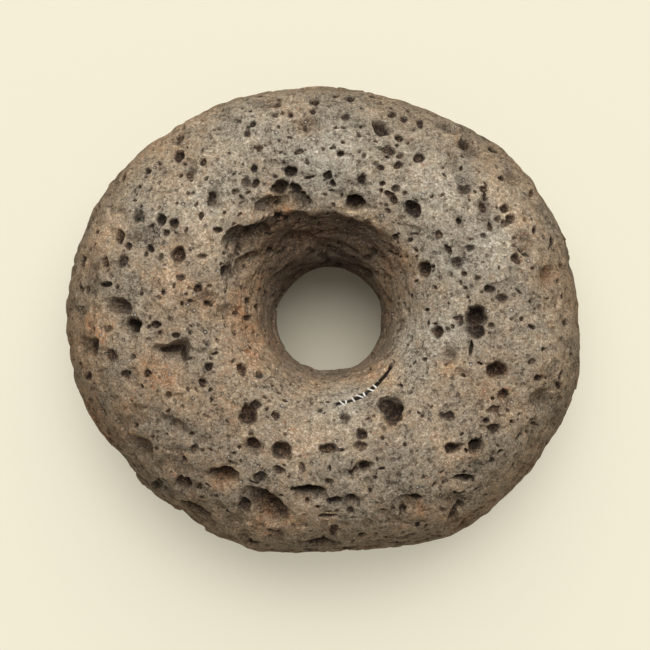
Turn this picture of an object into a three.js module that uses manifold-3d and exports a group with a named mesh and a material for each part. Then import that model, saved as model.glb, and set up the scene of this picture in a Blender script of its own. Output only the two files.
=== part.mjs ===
// A stone spindle whorl: a thick, roughly oval ring of bubbly basalt, pierced by a hole that was worked in from
// both sides, so that it flares up and down from a narrow neck. It lies on its underside.
// Lengths are in millimetres and +Z is up. The origin is on the ground, under the middle of the outline.
import * as THREE from "three";
import { mergeVertices } from "three/addons/utils/BufferGeometryUtils.js";
import Module from "manifold-3d";

// Driving sizes
const LENGTH = 90; // longest way across, along X
const THICKNESS = 38; // height of the stone as it lies
const NECK_RADIUS = 9.2; // narrowest part of the hole
const NECK_X = 1.15; // how far the hole's centre is off the middle of the outline
const NECK_Y = -0.1;
const GROUND_WEAR = 0.6; // rubbed off the underside, which leaves a flat ring to lie on
const TOP_DIP = 0.5; // how much lower the upper side is towards +Y and -Y than towards +X and -X

// The outline seen from above, as shares of half the length: every 15 degrees, anticlockwise from +X.
const OUTLINE = [
  1.0, 0.987, 0.969, 0.953, 0.913, 0.9, 0.904, 0.911, 0.936, 0.962, 0.984, 0.998,
  1.002, 0.996, 0.964, 0.949, 0.936, 0.938, 0.911, 0.927, 0.969, 0.987, 1.002, 1.016,
];

// The section through one side of the ring, upper half, as shares: the way across from the neck to the outer
// edge, then the height above the middle plane. The lower half mirrors it.
const UPPER_SECTION = [
  [0, 0], [0.035, 0.28], [0.1, 0.56], [0.19, 0.79], [0.3, 0.93], [0.44, 1.0],
  [0.6, 0.99], [0.75, 0.91], [0.88, 0.72], [0.965, 0.42], [1, 0],
];

// How finely the ring is faceted
const COLUMNS = 64; // round the ring
const ROWS = 28; // round the section
const LARGE_HOLLOW = 1.4; // a hollow with a half size over this, in hundredths of the length, has more facets

// The hollows of the upper side. "at" is the bearing in degrees from +X and the share of the way across from the
// neck to the outer edge. "half" is half the hollow's size round the ring and half its size across the ring,
// and "deep" its depth, all three in hundredths of the length. "turn" turns it, in degrees anticlockwise.
// "lift" makes a shallow dish with sloping sides out of a pit with steep ones. "sides" is how many it is faceted
// with, and 3 makes it triangular.
const HOLE_RIM_HOLLOWS = [
  { at: [139, 0.24], half: [4.7, 2.1], deep: 2.2 },
  { at: [150, 0.16], half: [2.8, 2.2], deep: 1.3, lift: 0.3 },
  { at: [112, 0.295], half: [4.0, 1.8], deep: 1.8 },
  { at: [103, 0.33], half: [0.8, 1.6], deep: 1.8 },
  { at: [73.5, 0.3], half: [1.9, 1.6], deep: 2.2 },
  { at: [21, 0.225], half: [1.4, 1.3], deep: 1.7 },
  { at: [351, 0.29], half: [1.2, 1.1], deep: 1.3 },
  { at: [303, 0.27], half: [1.9, 2.6], deep: 1.7 },
  { at: [217.5, 0.27], half: [0.9, 0.9], deep: 1.0 },
  { at: [154, 0.28], half: [1.0, 1.0], deep: 1.0 },
];
const TOP_HOLLOWS = [
  { at: [110.5, 0.385], half: [1.1, 1.6], deep: 2.2 },
  { at: [104.5, 0.44], half: [1.0, 1.0], deep: 1.7 },
  { at: [89, 0.48], half: [0.8, 0.9], deep: 0.9 },
  { at: [47, 0.385], half: [1.3, 1.5], deep: 2.0 },
  { at: [28.5, 0.61], half: [3.9, 1.1], deep: 0.7, turn: -28, lift: 0.6 },
  { at: [15.5, 0.67], half: [1.0, 1.0], deep: 1.3 },
  { at: [358.5, 0.435], half: [2.1, 2.4], deep: 2.2 },
  { at: [353, 0.45], half: [1.5, 1.7], deep: 1.3 },
  { at: [340, 0.58], half: [1.6, 2.2], deep: 1.7 },
  { at: [334, 0.67], half: [0.9, 0.9], deep: 1.1 },
  { at: [317, 0.5], half: [1.5, 1.3], deep: 1.1 },
  { at: [286, 0.41], half: [0.8, 0.9], deep: 0.9 },
  { at: [271, 0.5], half: [1.6, 0.9], deep: 1.1 },
  { at: [252, 0.48], half: [1.6, 1.6], deep: 1.6 },
  { at: [233, 0.4], half: [1.8, 2.1], deep: 1.6 },
  { at: [208, 0.4], half: [0.9, 0.9], deep: 0.9 },
  { at: [198, 0.52], half: [2.4, 3.3], deep: 1.7, turn: 25, sides: 3 },
  { at: [161.5, 0.475], half: [1.4, 1.2], deep: 1.3 },
  { at: [138.5, 0.51], half: [0.8, 1.7], deep: 1.3 },
  { at: [115, 0.63], half: [0.8, 0.9], deep: 0.9 },
];
const SHOULDER_HOLLOWS = [
  { at: [72.5, 0.73], half: [1.7, 1.1], deep: 1.3, turn: -30 },
  { at: [94.5, 0.7], half: [2.3, 1.8], deep: 0.7, lift: 0.6 },
  { at: [59, 0.74], half: [0.9, 0.8], deep: 1.0 },
  { at: [50.5, 0.73], half: [2.2, 1.1], deep: 0.7, lift: 0.6 },
  { at: [9.5, 0.8], half: [1.6, 1.8], deep: 0.7, lift: 0.6 },
  { at: [344, 0.93], half: [1.6, 0.9], deep: 1.1 },
  { at: [339.5, 0.87], half: [2.0, 1.8], deep: 0.9, lift: 0.3 },
  { at: [317, 0.73], half: [1.5, 1.2], deep: 1.1 },
  { at: [309.5, 0.815], half: [1.9, 0.8], deep: 1.1 },
  { at: [304, 0.905], half: [1.3, 1.5], deep: 1.0 },
  { at: [293.5, 0.8], half: [1.2, 1.2], deep: 1.1 },
  { at: [264, 0.7], half: [2.9, 1.2], deep: 1.3 },
  { at: [252.5, 0.785], half: [5.2, 3.3], deep: 1.9, lift: 0.2 },
  { at: [238, 0.72], half: [2.1, 1.8], deep: 1.1, lift: 0.5 },
  { at: [237, 0.92], half: [3.3, 1.0], deep: 1.1 },
  { at: [231, 0.885], half: [1.1, 1.1], deep: 1.2 },
  { at: [187, 0.88], half: [1.9, 1.3], deep: 1.4 },
  { at: [180, 0.735], half: [3.3, 3.2], deep: 1.4, lift: 0.2 },
  { at: [182.5, 0.69], half: [1.2, 1.4], deep: 1.9 },
  { at: [161, 0.8], half: [1.3, 0.8], deep: 1.2 },
  { at: [152, 0.66], half: [1.3, 0.9], deep: 1.1 },
  { at: [132, 0.88], half: [1.1, 0.9], deep: 1.0 },
  { at: [45, 0.93], half: [0.9, 0.9], deep: 0.9 },
];

// Nicks in the outer edge, as bearing, half the width round the edge, half the height, and depth, in hundredths
const EDGE_NICKS = [
  { bearing: 129, half: 1.8, tall: 3.5, deep: 0.9 },
  { bearing: 214, half: 2.9, tall: 4.0, deep: 1.0 },
  { bearing: 235, half: 2.2, tall: 3.0, deep: 0.7 },
  { bearing: 35.9, half: 1.3, tall: 3.0, deep: 1.0 },
  { bearing: 358, half: 0.9, tall: 1.8, deep: 0.6 },
];

// Plainer hollows low on the flank and on the underside, each stepped on from the last by the golden angle
const GOLDEN_ANGLE = 180 * (3 - Math.sqrt(5));
const FLANK_HOLLOWS = 9;
const UNDER_HOLLOWS = 12;

const HUNDREDTH = LENGTH / 100;
const radians = THREE.MathUtils.degToRad;

const lowerSection = UPPER_SECTION.slice(1, -1).reverse().map(([across, height]) => [across, -height]);
const sectionCurve = new THREE.CatmullRomCurve3(
  [...UPPER_SECTION, ...lowerSection].map(([across, height]) => new THREE.Vector3(across, height, 0)),
  true, "catmullrom", 0.5,
);
const outlineCurve = new THREE.CatmullRomCurve3(
  OUTLINE.map((share) => new THREE.Vector3(share, 0, 0)),
  true, "catmullrom", 0.5,
);

// Distance from the middle of the outline to its edge, and to the neck of the hole
function toEdge(bearing) {
  const turns = bearing / 360;
  return (LENGTH / 2) * outlineCurve.getPoint(turns - Math.floor(turns)).x;
}
function toNeck(bearing) {
  const along = NECK_X * Math.cos(radians(bearing)) + NECK_Y * Math.sin(radians(bearing));
  return along + Math.sqrt(along ** 2 - NECK_X ** 2 - NECK_Y ** 2 + NECK_RADIUS ** 2);
}

// A point of the smooth ring. "way" runs round the section from the neck (0) over the upper side to the outer
// edge (0.5), and back along the underside to the neck (1).
function smoothPoint(bearing, way) {
  const { x: across, y: height } = sectionCurve.getPoint(way - Math.floor(way));
  const reach = toNeck(bearing) + (toEdge(bearing) - toNeck(bearing)) * across;
  const dip = TOP_DIP * Math.sin(radians(bearing)) ** 2 * Math.max(0, height);
  const z = ((THICKNESS + GROUND_WEAR) / 2) * (1 + height) - GROUND_WEAR - dip;
  return new THREE.Vector3(reach * Math.cos(radians(bearing)), reach * Math.sin(radians(bearing)), Math.max(0, z));
}

// The middle of the outline, which the origin is put under
const outlineBox = new THREE.Box3().setFromPoints(
  Array.from({ length: COLUMNS }, (_, column) => smoothPoint((360 * column) / COLUMNS, 0.5)),
);
const middle = outlineBox.getCenter(new THREE.Vector3()).setZ(0);
const ringPoint = (bearing, way) => smoothPoint(bearing, way).sub(middle);

// The way round the section at which the upper side has come a given share across
function wayAcross(share) {
  let [low, high] = [0, 0.5];
  for (let i = 0; i < 30; i++) {
    const middle = (low + high) / 2;
    if (sectionCurve.getPoint(middle).x < share) low = middle;
    else high = middle;
  }
  return low;
}

// A frame on the surface: x across the ring, y round it, z out of the stone
function surfaceFrame(bearing, way, turn, lift) {
  const step = 0.004;
  const point = ringPoint(bearing, way);
  const across = ringPoint(bearing, way + step).sub(ringPoint(bearing, way - step)).normalize();
  const round = ringPoint(bearing + 1, way).sub(ringPoint(bearing - 1, way)).normalize();
  const out = across.clone().cross(round).normalize();
  const squareRound = out.clone().cross(across);
  const frame = new THREE.Matrix4().makeBasis(across, squareRound, out);
  frame.setPosition(point.addScaledVector(out, lift));
  return frame.multiply(new THREE.Matrix4().makeRotationZ(radians(turn)));
}

function ringGeometry() {
  const positions = [];
  const faces = [];
  for (let column = 0; column < COLUMNS; column++) {
    for (let row = 0; row < ROWS; row++) {
      positions.push(...ringPoint((360 * column) / COLUMNS, row / ROWS).toArray());
      const nextColumn = ((column + 1) % COLUMNS) * ROWS;
      const nextRow = (row + 1) % ROWS;
      const [a, b] = [column * ROWS + row, column * ROWS + nextRow];
      const [c, d] = [nextColumn + nextRow, nextColumn + row];
      faces.push(a, b, d, b, c, d);
    }
  }
  const geometry = new THREE.BufferGeometry();
  geometry.setAttribute("position", new THREE.Float32BufferAttribute(positions, 3));
  return geometry.setIndex(faces);
}

// A hollow as a faceted ellipsoid. Its half sizes and depth at the surface are in hundredths of the length.
function hollowGeometry({ bearing, way, half: [round, across], deep, turn = 0, lift = 0, sides }) {
  const tall = (deep * HUNDREDTH) / (1 - lift);
  const widen = HUNDREDTH / Math.sqrt(1 - lift ** 2);
  const isLarge = Math.max(round, across) > LARGE_HOLLOW;
  const ball = new THREE.SphereGeometry(1, sides ?? (isLarge ? 8 : 6), isLarge ? 6 : 4).rotateX(Math.PI / 2);
  ball.scale(across * widen, round * widen, tall);
  return ball.applyMatrix4(surfaceFrame(bearing, way, turn, lift * tall));
}

const wasm = await Module();
wasm.setup();

function solidOf(geometry) {
  geometry.deleteAttribute("normal");
  geometry.deleteAttribute("uv");
  const merged = mergeVertices(geometry);
  return new wasm.Manifold(new wasm.Mesh({
    numProp: 3,
    vertProperties: merged.attributes.position.array,
    triVerts: new Uint32Array(merged.index.array),
  }));
}

function geometryOf(solid) {
  const mesh = solid.getMesh();
  const geometry = new THREE.BufferGeometry();
  geometry.setAttribute("position", new THREE.BufferAttribute(mesh.vertProperties, 3));
  geometry.setIndex(new THREE.BufferAttribute(mesh.triVerts, 1));
  geometry.computeVertexNormals();
  return geometry;
}

// Every hollow and nick in the same terms: a bearing, a way round the section, and sizes
function allHollows() {
  const upper = [...HOLE_RIM_HOLLOWS, ...TOP_HOLLOWS, ...SHOULDER_HOLLOWS].map((hollow) => (
    { ...hollow, bearing: hollow.at[0], way: wayAcross(hollow.at[1]) }));
  const nicks = EDGE_NICKS.map(({ bearing, half, tall, deep }) => (
    { bearing, way: 0.5, half: [half, tall], deep, lift: 0.3 }));
  const flank = Array.from({ length: FLANK_HOLLOWS }, (_, i) => (
    { bearing: 20 + i * GOLDEN_ANGLE, way: 0.53 + 0.02 * (i % 3), half: [1.1 + 0.4 * (i % 4), 1.3], deep: 1.1 }));
  const under = Array.from({ length: UNDER_HOLLOWS }, (_, i) => (
    { bearing: 75 + i * GOLDEN_ANGLE, way: 0.64 + 0.06 * (i % 5), half: [1.2 + 0.3 * (i % 5), 1.2], deep: 1.2 }));
  return [...upper, ...nicks, ...flank, ...under];
}

function makeWhorl() {
  let stone = solidOf(ringGeometry());
  for (const hollow of allHollows()) stone = stone.subtract(solidOf(hollowGeometry(hollow)));
  const basalt = new THREE.MeshStandardMaterial({
    color: 0x7f7466, roughness: 0.92, metalness: 0, flatShading: true,
  });
  const whorl = new THREE.Mesh(geometryOf(stone), basalt);
  whorl.name = "whorl";
  return whorl;
}

const group = new THREE.Group();
group.add(makeWhorl());

export default group;
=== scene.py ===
import math
from itertools import product

import bpy
import numpy as np
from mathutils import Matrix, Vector


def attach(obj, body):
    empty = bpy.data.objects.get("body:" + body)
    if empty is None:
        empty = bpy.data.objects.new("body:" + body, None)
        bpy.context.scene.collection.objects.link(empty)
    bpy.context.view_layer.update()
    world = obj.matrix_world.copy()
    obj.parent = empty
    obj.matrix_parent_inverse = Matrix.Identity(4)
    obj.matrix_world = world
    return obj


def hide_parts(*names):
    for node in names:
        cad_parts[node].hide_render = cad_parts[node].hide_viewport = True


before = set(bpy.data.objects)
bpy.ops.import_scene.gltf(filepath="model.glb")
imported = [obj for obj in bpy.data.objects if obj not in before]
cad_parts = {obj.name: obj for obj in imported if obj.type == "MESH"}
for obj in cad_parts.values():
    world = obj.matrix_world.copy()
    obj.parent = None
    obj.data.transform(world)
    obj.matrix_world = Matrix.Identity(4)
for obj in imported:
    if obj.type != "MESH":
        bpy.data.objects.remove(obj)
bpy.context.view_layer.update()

# The stone whorl: a pierced ring of bubbly basalt on a pale floor. Lengths are in metres, apart from those
# in the nodes of the stone's material, which are in millimetres.
MM = 0.001

# Driving sizes of the stone, the same as in the solid
LENGTH = 90 * MM
THICKNESS = 38 * MM
NECK_RADIUS = 9.2 * MM
NECK = np.array([1.15, -0.1]) * MM  # the hole's centre, off the middle of the outline
GROUND_WEAR = 0.6 * MM
TOP_DIP = 0.5 * MM
HUNDREDTH = LENGTH / 100  # the unit that the sizes of chips and of hidden hollows are given in

# The outline as shares of half the length, every 15 degrees anticlockwise from +X
OUTLINE = [
    1.0, 0.987, 0.969, 0.953, 0.913, 0.9, 0.904, 0.911, 0.936, 0.962, 0.984, 0.998,
    1.002, 0.996, 0.964, 0.949, 0.936, 0.938, 0.911, 0.927, 0.969, 0.987, 1.002, 1.016,
]
# The upper half of the section: share of the way across from neck to edge, share of half the height
UPPER_SECTION = [
    (0, 0), (0.035, 0.28), (0.1, 0.56), (0.19, 0.79), (0.3, 0.93), (0.44, 1.0),
    (0.6, 0.99), (0.75, 0.91), (0.88, 0.72), (0.965, 0.42), (1, 0),
]
LOWER_SECTION = [(across, -height) for across, height in UPPER_SECTION[-2:0:-1]]

# The camera: where it stands, and what the square frame that it gives shows
FRAME_PIXELS = 650
PIXEL = LENGTH / 513  # what a pixel covers at the middle height of the stone
OUTLINE_MIDDLE_PIXEL = (323.5, 318.5)
ELEVATION = math.radians(83)
CAMERA_DISTANCE = 600 * MM
SENSOR_WIDTH = 36.0

# How finely the stone is worked before it is thinned out
GRID_COLUMNS = 1152
GRID_UPPER_ROWS = 350
GRID_LOWER_ROWS = 210
TRIANGLES = 196000

# Pits as they are seen from the camera: the pixel of the middle, half the width and half the height in
# pixels, and where one is tilted, the turn in degrees anticlockwise. The deep ones look nearly black.
DEEP_PITS = [
    # far side
    (254, 169, 3, 4), (257, 184, 3, 4), (333, 184, 2.5, 4), (260, 148, 2.6, 3), (302, 93, 4, 1.5),
    (290, 115, 2.7, 2.5), (315, 102, 4, 3.3), (313, 112, 3, 2.8), (335, 97, 2.5, 1.4),
    (350, 99, 3.5, 2.8), (290, 137, 2.5, 1), (342, 142, 1.8, 1.8), (253.5, 124, 3, 3),
    (327, 177, 4, 4.5), (340, 152.5, 3.8, 3),
    # far right
    (379, 99, 4.5, 2), (361, 125, 1.8, 2), (381, 128.5, 9, 6, -30), (392.5, 115, 4, 3),
    (405, 119, 3.3, 2.3), (419, 123.5, 3.2, 5), (399, 138, 3.7, 3.5), (388, 156, 2, 1.2),
    (421, 157, 4.6, 4.2), (381, 168, 3.6, 3), (362, 180, 3.5, 4.8), (382, 184, 2.6, 2.4),
    (381, 191, 2, 2), (388, 194, 3.5, 3), (394, 201, 4, 4), (355, 205, 9.5, 8), (412, 211, 7, 8),
    (399, 165, 4.3, 3), (462, 169, 2, 2.6), (459, 221, 2.7, 4.5), (493, 150, 5, 4),
    (502, 178, 3.5, 2.5), (484, 189, 3.5, 3), (485, 196, 1.5, 5), (483, 207.5, 3, 5),
    (490, 227, 2, 4.5), (504, 209, 4, 4), (511, 219, 4.2, 4), (531, 194, 2.3, 2.5), (534, 230, 2.5, 4),
    (551, 242, 1.7, 5),
    # far left
    (179.5, 138, 3, 5.5, -20), (178, 155, 4.3, 6), (184, 163, 1.5, 1.5), (203.5, 162, 3.2, 3.2),
    (191, 180, 1.3, 1.5), (148, 171, 3, 3), (212, 196, 3.8, 4.2), (201, 216, 2.6, 3.6),
    (123, 177.5, 2.8, 4, -20), (139.5, 186.5, 1.8, 2), (134, 200, 2.2, 1.2), (160, 220, 4.8, 6.5),
    (174, 224, 4.3, 4), (166.5, 233, 3, 2.7), (118, 238, 4, 6.5), (127, 244, 2.8, 3),
    (150, 249, 3.3, 3.3), (179, 255, 6, 7.5), (82, 262, 2.5, 6), (106, 284, 6, 2.8),
    (199, 288.5, 4, 3.5),
    # rim of the hole
    (219, 231, 4.5, 2.7), (208.5, 303, 4, 2.5), (238.5, 313, 3, 2), (259, 308.5, 2, 4),
    (264.6, 291.5, 1.5, 2), (275, 257, 3, 3), (275, 242, 2.5, 1.5), (285, 220, 3, 2),
    (281.5, 228, 2.5, 1.5), (339, 252, 2.3, 1.5), (348, 230, 2, 1.5), (395, 238, 2.8, 3),
    (445, 246, 1.8, 1.8), (449.6, 252, 1.3, 3.5), (422, 271, 6.3, 7.5), (464, 274, 2.5, 2.3),
    (489, 289, 4.6, 4.2), (427, 310, 2.3, 1.8), (448, 303.5, 1.5, 1.5), (387, 255, 3, 1.3),
    (394, 256.5, 3, 1.3),
    # right
    (515, 258.5, 4.5, 5), (528, 253, 3, 1.5), (564, 296, 1.8, 2.5), (521, 319, 2.2, 1.8),
    (532.6, 327.7, 4, 1.8, -35), (475.5, 316, 9.5, 10), (475, 331, 8, 7), (470.5, 348, 2, 7.5, -8),
    (436, 331.6, 5.5, 6), (544, 349.5, 2, 1.5), (540, 378, 5, 3), (497, 369.5, 10, 7.5),
    (505.7, 394.7, 4.3, 5), (532, 420.5, 2, 1.5), (537, 425, 3, 1.5), (563, 377, 2, 5, -20),
    (562, 386, 2, 4, 20),
    # near right
    (386, 402, 7, 6), (391, 411, 8, 9), (361, 434, 4.5, 4.5), (365, 465.5, 6, 4), (382, 469, 3, 1.2),
    (452, 449, 6.5, 4.5), (476, 444, 6.5, 2.5), (486.5, 421.5, 3.5, 3), (519, 438, 1.8, 4.5, -25),
    (500, 452, 3.2, 1.3, 20), (492, 461.7, 3, 2.3), (464.5, 478.5, 10, 3), (444, 484.6, 1.2, 1.2),
    (461.5, 494.5, 5, 1.8, 18), (415.5, 499, 4.5, 4), (403, 511.4, 4, 2.8), (334, 502, 7, 3),
    (362, 537, 3, 3), (418, 526.7, 2.5, 1.5), (426, 527.7, 2, 1.5), (453, 516, 3, 6, -35),
    (460, 508, 5, 1.6, 25), (478, 510, 7, 1.8, 25), (399.5, 543, 10, 1.5), (438, 534.5, 5, 1.6, 12),
    # near left
    (132, 325.5, 7, 5.5), (155, 324.5, 4.5, 3), (176, 335.5, 3.5, 2.5), (209, 366, 4, 4),
    (242, 368, 5, 5.5), (203, 383, 3.5, 4), (147.6, 374.6, 3.5, 3), (86, 378, 3, 4), (256, 404, 4.5, 4),
    (250, 415, 8, 9), (276, 416, 3.3, 4.5), (253, 443, 6.5, 5, -35), (281.5, 451, 8, 8),
    (328, 448.5, 8, 4), (184, 459, 2.3, 2.3), (257, 483.7, 2, 2), (183, 483, 7, 6, -35),
    (201, 497, 2.5, 1.5), (197.5, 489.5, 2.5, 1.5), (243.5, 508, 4, 7, 25), (310, 490.5, 15, 4.5, -5),
    (328, 517.5, 9, 2.2), (274, 533.5, 6.5, 2.2, -30), (253, 543, 5, 1.5), (318, 543.5, 14, 3),
    (195, 512, 16, 4, -32), (239.5, 447, 2, 1.5), (234, 453, 2, 1.5), (96, 343, 3.5, 5, 20),
]
# Pits of middling depth
PITS = [
    # far side
    (246, 183, 4.6, 3.5), (335.4, 176, 1.5, 2.5), (299, 151, 4, 3), (260, 97, 3, 1),
    (275, 103, 5.5, 2.8), (274, 114, 4, 3.5), (282, 113.5, 2.3, 2), (278, 126.5, 2, 2),
    (345, 117, 4, 5), (334, 146.5, 2.2, 2), (249, 127, 2.5, 2), (246, 134, 3.5, 4), (238, 120, 2.3, 2),
    (229, 153, 1.5, 2), (218, 126, 1.2, 1.2), (235, 192, 4, 3),
    # far right
    (371, 97, 3, 1.5), (407, 111.4, 2.5, 1.5), (414, 109.6, 2.8, 1), (413.6, 130, 2, 1.8),
    (388, 149, 6, 4), (401, 156, 4, 3.5), (395.6, 188.6, 3.8, 3.5), (405, 193.5, 3, 2.5),
    (387, 211.7, 3, 3), (464, 140.6, 5, 5), (463.5, 190, 6, 5), (483, 236, 3, 3), (504.6, 224, 4, 4),
    (498, 220.5, 3, 3), (516, 237.5, 3, 2),
    # far left
    (189, 175.6, 3.5, 5), (146, 177, 2.2, 1.5), (187.6, 193.5, 2.3, 2), (193, 193, 2.3, 2),
    (211, 203, 4, 5), (224, 213.5, 2, 2.7), (136, 194.4, 1.2, 1.2), (136.4, 217.4, 5, 6),
    (142.7, 218.3, 2, 4), (151, 226, 3, 3), (153.5, 231, 1.5, 1.5), (129, 249.7, 1.5, 1.5),
    (160.6, 257.4, 2.2, 4, -15), (122, 261.4, 4, 6), (103, 263, 4, 6), (80, 287.4, 2, 5),
    (86, 290, 2, 4), (97, 232, 2, 2), (182.6, 277.6, 3.5, 3), (202, 256.4, 5, 2.2),
    (186, 294, 2.3, 1.5), (108, 195.4, 1.5, 2),
    # rim of the hole
    (227, 271.5, 5.5, 5), (226, 292, 1.5, 2), (251.5, 301.5, 3, 3), (249, 318.5, 4, 3),
    (286, 259, 2, 1.5), (337, 228, 3, 1.5), (323, 256, 2, 2), (317, 228, 2, 1.2), (414, 235, 3, 1.5),
    (439, 235.4, 4, 4.5), (458, 263, 5, 6, 20), (478, 278.6, 3.3, 2.5), (470, 248, 5, 3),
    (472, 239, 2.5, 1.5), (464.6, 287, 2, 1.5), (451.5, 275, 1, 2.5),
    # right
    (521.5, 250, 3, 2), (533, 268, 2.3, 2), (502, 298, 5.5, 4), (519, 291, 4.5, 1, -40),
    (531, 301.5, 2, 2.7), (568, 323, 2, 4), (491, 326, 3.5, 3), (533.5, 362, 4, 3),
    (444.5, 364, 2, 1.8), (459.5, 322, 4, 6),
    # near right
    (392, 422.4, 5, 4), (445, 417, 7, 4.5), (422.4, 415, 2, 2), (345, 417, 4, 5), (360, 445.4, 6, 4),
    (355.5, 470, 4, 2.5), (477, 451, 6, 6), (494, 431, 6, 5), (495, 410, 7, 4), (515, 466.4, 2, 3),
    (383, 511.4, 3, 2.5), (352, 500, 6, 3.5, -20), (350, 513, 4, 3), (444.4, 511.4, 3, 1.5),
    (362, 450, 3, 2),
    # near left
    (173, 347, 13, 3.2, 12), (185, 353, 3.2, 9), (109, 357, 6, 6), (260, 373.7, 4, 3.5),
    (168, 395.7, 3, 4.5), (124, 374.6, 4.5, 4),
    (133, 357.4, 3, 2.5), (136, 427, 2.5, 2), (153, 437, 2, 2), (192.5, 434, 3, 2), (193.5, 449, 4, 4),
    (278, 470, 6, 3.5), (302.5, 468.4, 3, 5), (260, 477, 6, 5), (329, 481.7, 4, 3), (230, 462.6, 2, 2),
    (216.4, 496, 2.5, 1.5), (333, 533.4, 4.5, 6), (157, 485.6, 6, 5), (107, 329, 4, 4), (90, 349, 6, 9),
    (160, 481, 4, 3, -45),
]
# Shallow ones
DIMPLES = [
    (265.4, 174.6, 2.5, 2.5), (271.4, 175.8, 2.7, 2.7), (312.7, 183, 2.7, 1.5), (303, 144, 1, 1),
    (339, 200.4, 2.5, 1.5), (237, 116, 2, 1.5), (226, 140, 5, 3), (359, 120, 1.5, 7, 15),
    (363, 165, 4, 4), (375.4, 174, 4, 8), (374, 204, 2, 6), (421, 142, 3.5, 3), (440, 125, 6, 3),
    (452, 156, 5, 11), (448, 187, 2, 2), (448, 213, 5, 4), (487.6, 159.5, 9, 4), (210, 181.4, 2.5, 4),
    (182, 208, 2, 4), (121.6, 206, 4, 4), (142, 259.6, 1.5, 1), (548, 274, 9, 8), (516, 281, 3, 3),
    (538, 310, 4, 1), (524, 333, 1.5, 3), (552, 323, 5, 2.5), (498.5, 258.5, 2, 1.5), (446, 355, 10, 8),
    (343.6, 436.8, 1.2, 1.2), (140, 447, 13, 9, -45), (223, 478, 12, 9), (500, 337, 3, 5),
]
# Broad hollows: the pixel of the middle, half the width and height in pixels and the depth in millimetres.
# Where they matter they also give, in degrees anticlockwise as seen, the turn, the side that is steep and the
# direction that one of three corners points in, and from 0 to 1 how flat a dish it is (lift) and how dark it
# is painted inside, for dirt and painted shade (shade).
SCOOPS = [
    dict(at=(249, 241), half=(27, 15), deep=2.9, turn=10, steep=90, shade=0.6),
    dict(at=(252, 269), half=(15, 10), deep=1.5, turn=30, steep=90, lift=0.1),
    dict(at=(301, 250), half=(17, 9), deep=1.5, turn=6, steep=90, lift=0.1),
    dict(at=(272, 206), half=(20, 10), deep=1.7, turn=18, steep=90, shade=0.55),
    dict(at=(299, 203), half=(13, 10), deep=1.7, turn=-35, steep=80, shade=0.5),
    dict(at=(280, 190), half=(8, 11), deep=2.5, turn=-25, steep=80, shade=0.85),
    dict(at=(290, 173), half=(5.5, 6), deep=1.9, steep=90, shade=1.0),
    dict(at=(296, 190), half=(5, 8), deep=1.6, turn=20, steep=60, shade=0.8),
    dict(at=(355, 204), half=(10, 8.5), deep=1.4, steep=100),
    dict(at=(306, 125), half=(14, 10), deep=0.6, steep=60, lift=0.4),
    dict(at=(484, 213), half=(8, 21), deep=0.7, steep=30, lift=0.4),
    dict(at=(463, 185), half=(12, 8), deep=0.6, steep=60, lift=0.5),
    dict(at=(173, 353), half=(17, 13), deep=2.6, steep=60, corner=50, shade=0.35),
    dict(at=(118, 309), half=(13, 12), deep=2.2, steep=80, shade=0.55),
    dict(at=(127, 323), half=(12, 9), deep=1.6, turn=-20, steep=10, shade=0.45),
    dict(at=(84, 348), half=(8, 14), deep=1.1, steep=90, lift=0.2),
    dict(at=(264, 508), half=(28, 14), deep=2.7, turn=-36, steep=60, shade=0.65),
    dict(at=(222, 476), half=(15, 9), deep=1.8, steep=85, shade=0.55),
    dict(at=(140, 447), half=(14, 10), deep=0.9, turn=-45, steep=50, lift=0.3),
    dict(at=(310, 496), half=(17, 9), deep=1.6, steep=90, shade=0.4),
    dict(at=(545, 400), half=(14, 14), deep=1.0, steep=140, lift=0.2),
    dict(at=(477, 449), half=(8, 9), deep=1.1, steep=90, lift=0.1),
    dict(at=(390, 410), half=(9, 14), deep=1.4, steep=100, turn=-8),
    dict(at=(447, 358), half=(10, 9), deep=0.7, steep=90, lift=0.3),
    dict(at=(475, 320), half=(10, 15), deep=1.3, steep=80, lift=0.1),
    dict(at=(497, 374), half=(12, 11), deep=0.9, steep=60, lift=0.2),
    dict(at=(453, 449), half=(9, 7), deep=0.8, steep=60, lift=0.2, corner=150),
    dict(at=(548, 274), half=(10, 9), deep=0.6, steep=60, lift=0.4),
    dict(at=(207, 300), half=(13, 9), deep=0.7, steep=80, lift=0.3),
    dict(at=(228, 312), half=(12, 8), deep=0.6, steep=90, lift=0.4),
    dict(at=(505, 405), half=(9, 14), deep=0.7, steep=60, lift=0.3),
    dict(at=(360, 470), half=(11, 7), deep=0.8, steep=90, lift=0.2),
    dict(at=(446, 128), half=(15, 6), deep=0.8, steep=70, lift=0.2, turn=-25),
    dict(at=(470, 152), half=(10, 12), deep=0.9, steep=60, lift=0.2),
    dict(at=(452, 164), half=(7, 14), deep=0.7, steep=20, lift=0.3),
    dict(at=(521, 243), half=(12, 14), deep=0.8, steep=40, lift=0.2),
    dict(at=(511, 181), half=(11, 9), deep=0.8, steep=50, lift=0.2),
    dict(at=(268, 104), half=(16, 9), deep=0.7, steep=80, lift=0.3),
    dict(at=(190, 170), half=(9, 14), deep=0.7, steep=30, lift=0.3),
    dict(at=(213, 200), half=(7, 12), deep=0.7, steep=40, lift=0.2),
    dict(at=(140, 240), half=(22, 14), deep=0.6, steep=70, lift=0.4),
    dict(at=(90, 280), half=(10, 20), deep=0.8, steep=20, lift=0.3),
    dict(at=(170, 425), half=(24, 9), deep=0.8, steep=70, turn=-25, lift=0.3),
    dict(at=(250, 448), half=(14, 9), deep=0.8, steep=60, lift=0.3),
    dict(at=(455, 505), half=(14, 12), deep=0.8, steep=70, lift=0.3),
    dict(at=(350, 505), half=(16, 9), deep=0.8, steep=80, lift=0.3),
    dict(at=(407, 505), half=(15, 9), deep=0.8, steep=70, lift=0.2),
]

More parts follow.
